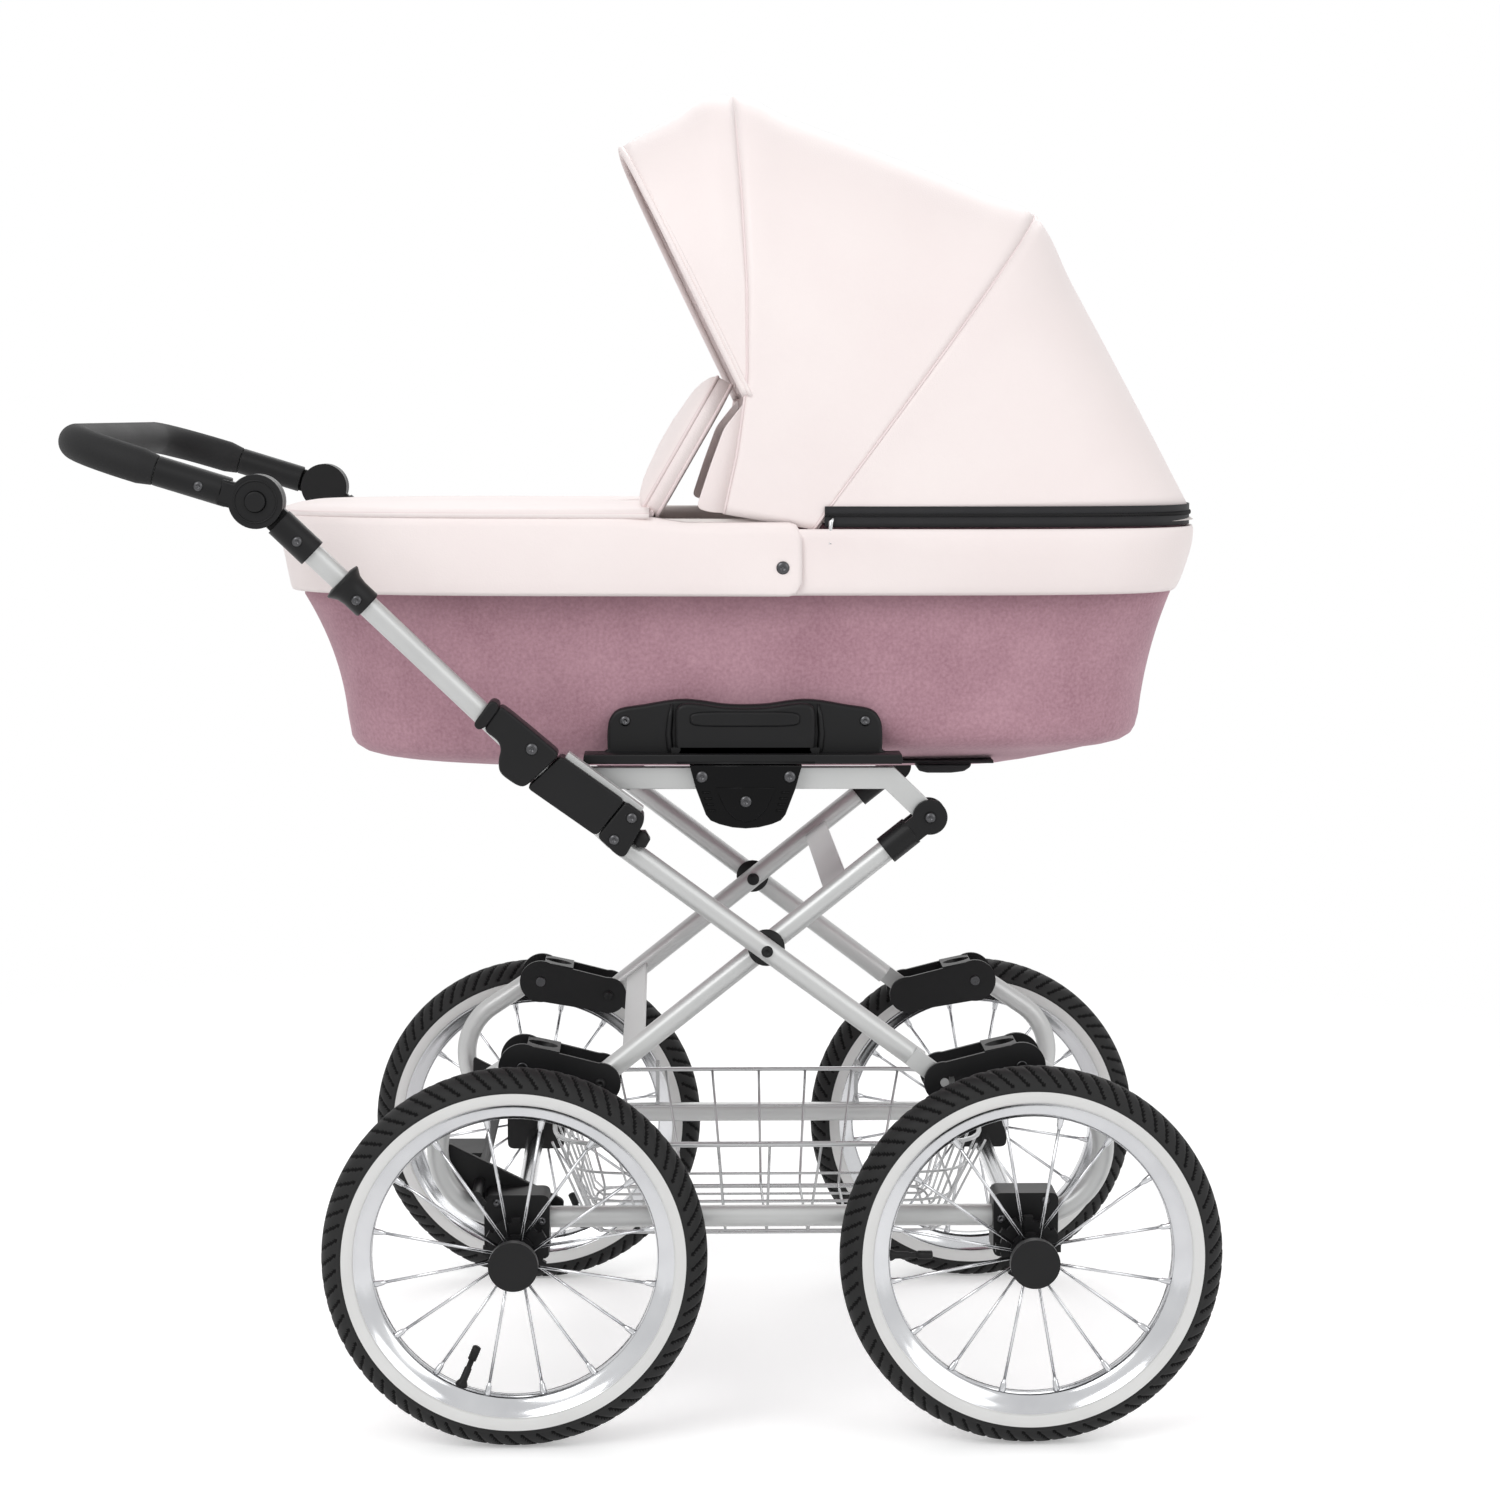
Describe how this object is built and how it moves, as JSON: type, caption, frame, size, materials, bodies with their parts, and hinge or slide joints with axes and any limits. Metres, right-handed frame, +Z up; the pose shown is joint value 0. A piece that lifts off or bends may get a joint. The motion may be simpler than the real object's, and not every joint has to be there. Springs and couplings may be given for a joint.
{
  "type": "bassinet pram",
  "caption": "Bassinet pram: folding tubular chassis on large spoked wheels, lift-off padded tub with folding hood, apron, wind flap and a wire basket below",
  "frame": {"origin": "on the floor under the middle of the overall box", "axes": "+X from the handle end to the hood end, +Y to the left, +Z up"},
  "size_m": [1.053, 0.62, 1.2316],
  "materials": {
    "frame_paint": "satin light grey paint",
    "bright_metal": "bright plated wire and screws",
    "aluminium": "plain tube",
    "black_plastic": "fine grain, matte",
    "grey_plastic": "charcoal, satin",
    "grip": "black, fine grain",
    "velvet": "dusty mauve short pile",
    "mattress_cloth": "white cotton",
    "pale_leather": "very pale pink leatherette",
    "webbing": "black webbing",
    "tyre": "black rubber with white wall",
    "rim_metal": "polished"
  },
  "bodies": {
    "base": {"base_tubes": "frame_paint", "axles": "bright_metal", "axle_brackets": "black_plastic", "leg_brackets": "black_plastic", "bracket_screws": "bright_metal", "basket_floor": "bright_metal", "basket_side_right": "bright_metal", "basket_side_left": "bright_metal", "basket_end_rear": "bright_metal", "basket_end_front": "bright_metal", "basket_hooks": "bright_metal"},
    "brake": {"brake_shaft": "black_plastic"},
    "cross_frame": {"cross_tubes": "frame_paint", "cross_plates": "frame_paint", "fork_ends": "black_plastic", "frame_bolts": "grey_plastic"},
    "handle_frame": {"handle_lower_tubes": "frame_paint", "handle_upper_tubes": "frame_paint", "lock_cases": "black_plastic", "tube_collars": "black_plastic", "knuckle_bases": "black_plastic"},
    "trigger_right": {"lock_trigger_right": "black_plastic"},
    "trigger_left": {"lock_trigger_left": "black_plastic"},
    "handle": {"handle_bar": "aluminium", "handle_grip": "grip", "knuckle_arms": "black_plastic"},
    "button_right": {"knuckle_button_right": "grey_plastic"},
    "button_left": {"knuckle_button_left": "grey_plastic"},
    "top_rail": {"top_rails": "frame_paint", "tub_sockets": "black_plastic", "socket_screws": "bright_metal"},
    "tub": {"tub_shell": "velvet", "mattress": "mattress_cloth", "tub_brackets": "black_plastic", "rim_collar": "pale_leather", "apron": "pale_leather", "hood_hinges": "black_plastic", "press_studs": "bright_metal", "base_strap": "webbing"},
    "lever_right": {"release_lever_right": "grey_plastic"},
    "lever_left": {"release_lever_left": "grey_plastic"},
    "hood_rear": {"rear_bow": "grey_plastic", "rear_panel": "pale_leather"},
    "hood_front": {"front_bow": "grey_plastic", "main_panel": "pale_leather"},
    "visor": {"visor_bow": "grey_plastic", "visor_panel": "pale_leather"},
    "flap": {"wind_flap": "pale_leather"},
    "wheel_rear_right": {"tyre_rear_right": "tyre", "rim_rear_right": "rim_metal", "hub_rear_right": "black_plastic"},
    "wheel_rear_left": {"tyre_rear_left": "tyre", "rim_rear_left": "rim_metal", "hub_rear_left": "black_plastic"},
    "wheel_front_right": {"tyre_front_right": "tyre", "rim_front_right": "rim_metal", "hub_front_right": "black_plastic"},
    "wheel_front_left": {"tyre_front_left": "tyre", "rim_front_left": "rim_metal", "hub_front_left": "black_plastic"}
  },
  "joints": [
    {"name": "frame_fold", "type": "hinge", "parent": "base", "child": "cross_frame", "pos_m": [-0.04151, 0, 0.3265], "axis": [0, 1, 0], "range_deg": [0, 23]},
    {"name": "handle_fold", "type": "hinge", "parent": "cross_frame", "child": "handle_frame", "pos_m": [0.11099, 0, 0.449], "axis": [0, 1, 0], "range_deg": [-46, 0]},
    {"name": "rail_level", "type": "hinge", "parent": "cross_frame", "child": "top_rail", "pos_m": [0.26067, 0, 0.56924], "axis": [0, 1, 0], "range_deg": [-23, 0]},
    {"name": "brake_press", "type": "hinge", "parent": "base", "child": "brake", "pos_m": [-0.15451, 0, 0.224], "axis": [0, 1, 0], "range_deg": [-15, 0]},
    {"name": "trigger_pull_right", "type": "slide", "parent": "handle_frame", "child": "trigger_right", "axis": [-0.7152, -0.0698, 0.6955], "range_m": [0, 0.012], "stiffness_N_per_m": 400},
    {"name": "trigger_pull_left", "type": "slide", "parent": "handle_frame", "child": "trigger_left", "axis": [-0.7152, 0.0698, 0.6955], "range_m": [0, 0.012], "stiffness_N_per_m": 400},
    {"name": "handle_tilt", "type": "hinge", "parent": "handle_frame", "child": "handle", "pos_m": [-0.34122, 0, 0.85838], "axis": [0, 1, 0], "range_deg": [-60, 40]},
    {"name": "button_push_right", "type": "slide", "parent": "handle", "child": "button_right", "axis": [0, 1, 0], "range_m": [0, 0.004], "stiffness_N_per_m": 500},
    {"name": "button_push_left", "type": "slide", "parent": "handle", "child": "button_left", "axis": [0, -1, 0], "range_m": [0, 0.004], "stiffness_N_per_m": 500},
    {"name": "tub_lift", "type": "slide", "parent": "top_rail", "child": "tub", "axis": [0, 0, 1], "range_m": [0, 0.25]},
    {"name": "lever_pull_right", "type": "hinge", "parent": "tub", "child": "lever_right", "pos_m": [0.09149, -0.20637, 0.6323], "axis": [1, 0, 0], "range_deg": [0, 12], "stiffness_Nm_per_rad": 0.5},
    {"name": "lever_pull_left", "type": "hinge", "parent": "tub", "child": "lever_left", "pos_m": [0.09149, 0.20637, 0.6323], "axis": [-1, 0, 0], "range_deg": [0, 12], "stiffness_Nm_per_rad": 0.5},
    {"name": "hood_fold", "type": "hinge", "parent": "tub", "child": "hood_rear", "pos_m": [0.13649, 0, 0.81], "axis": [0, 1, 0], "range_deg": [0, 33], "deforming": ["rear_panel", "main_panel"]},
    {"name": "hood_front_fold", "type": "hinge", "parent": "hood_rear", "child": "hood_front", "pos_m": [0.13649, 0, 0.81], "axis": [0, 1, 0], "range_deg": [0, 33]},
    {"name": "visor_tilt", "type": "hinge", "parent": "hood_front", "child": "visor", "pos_m": [0.11766, 0, 0.953], "axis": [0, 1, 0], "range_deg": [-25, 0], "deforming": ["visor_panel"]},
    {"name": "flap_turn", "type": "hinge", "parent": "tub", "child": "flap", "pos_m": [0.00449, 0, 0.8456], "axis": [0, 1, 0], "range_deg": [-112, 0]},
    {"name": "wheel_spin_rear_right", "type": "hinge", "parent": "base", "child": "wheel_rear_right", "pos_m": [-0.11851, -0.275, 0.175], "axis": [0, 1, 0], "continuous": true},
    {"name": "wheel_spin_rear_left", "type": "hinge", "parent": "base", "child": "wheel_rear_left", "pos_m": [-0.11851, 0.275, 0.175], "axis": [0, 1, 0], "continuous": true},
    {"name": "wheel_spin_front_right", "type": "hinge", "parent": "base", "child": "wheel_front_right", "pos_m": [0.35149, -0.275, 0.175], "axis": [0, 1, 0], "continuous": true},
    {"name": "wheel_spin_front_left", "type": "hinge", "parent": "base", "child": "wheel_front_left", "pos_m": [0.35149, 0.275, 0.175], "axis": [0, 1, 0], "continuous": true}
  ],
  "couplings": [
    {"joint": "handle_fold", "follows": "frame_fold", "ratio": -2},
    {"joint": "rail_level", "follows": "frame_fold", "ratio": -1},
    {"joint": "hood_front_fold", "follows": "hood_fold", "ratio": 1}
  ]
}
